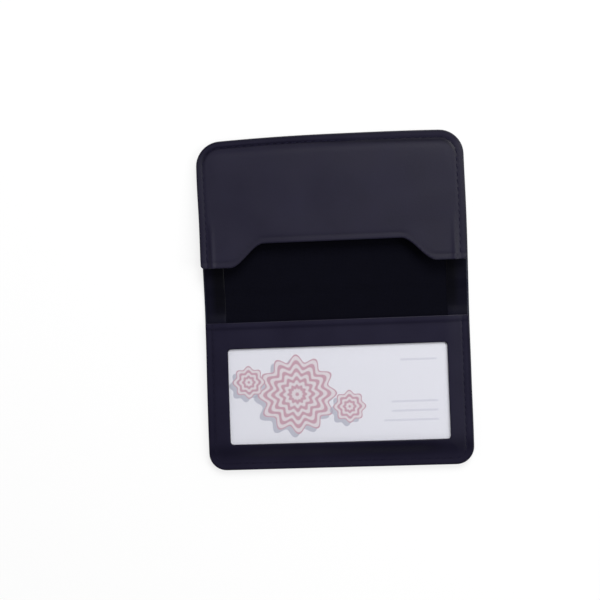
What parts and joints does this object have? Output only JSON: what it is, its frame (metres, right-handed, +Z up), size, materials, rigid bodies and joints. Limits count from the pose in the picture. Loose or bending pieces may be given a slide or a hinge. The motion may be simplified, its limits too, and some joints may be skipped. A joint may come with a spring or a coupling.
{
  "type": "business card holder",
  "caption": "Bi-fold leather business card holder, lying open, with a gusseted card pocket in one cover and a clear window pocket in the other.",
  "frame": {"origin": "on the table under the middle of the spine, with the holder lying open and flat", "axes": "+X along the spine to the right, +Y towards the front cover with the gusseted pocket, +Z up out of the pockets"},
  "size_m": [0.1016, 0.128, 0.0085],
  "materials": {
    "outer_leather": "smooth full-grain calf, dark navy, semi-matt",
    "inner_leather": "smooth full-grain calf, dark navy, semi-matt",
    "lining": "fine matt lining cloth, near black",
    "stiffener_board": "plain grey board",
    "clear_window": "clear flexible vinyl",
    "card_stock": "uncoated white card"
  },
  "bodies": {
    "back_cover": {"back_leather": "outer_leather", "back_board": "stiffener_board", "back_lining": "lining", "window_frame": "inner_leather", "window_film": "clear_window"},
    "card": {"business_card": "card_stock"},
    "spine": {"spine_leather": "outer_leather", "spine_lining": "lining"},
    "front_cover": {"front_leather": "outer_leather", "front_board": "stiffener_board", "front_lining": "lining", "pocket_margin": "inner_leather", "gusset_left": "inner_leather", "gusset_right": "inner_leather"},
    "pocket": {"pocket_panel": "inner_leather", "pocket_backing": "lining"}
  },
  "joints": [
    {"name": "spine_fold", "type": "hinge", "parent": "back_cover", "child": "spine", "pos_m": [0, -0.0058, 0.00065], "axis": [1, 0, 0], "range_deg": [0, 90]},
    {"name": "cover_fold", "type": "hinge", "parent": "spine", "child": "front_cover", "pos_m": [0, 0.0058, 0.00065], "axis": [1, 0, 0], "range_deg": [0, 90]},
    {"name": "pocket_flex", "type": "hinge", "parent": "front_cover", "child": "pocket", "pos_m": [0, 0.06, 0.00295], "axis": [-1, 0, 0], "range_deg": [-5.6, 0.3], "stiffness_Nm_per_rad": 0.15, "deforming": ["gusset_left", "gusset_right"]},
    {"name": "card_slide", "type": "slide", "parent": "back_cover", "child": "card", "axis": [0, 1, 0], "range_m": [0, 0.0018]}
  ],
  "couplings": [
    {"joint": "cover_fold", "follows": "spine_fold", "ratio": 1}
  ]
}
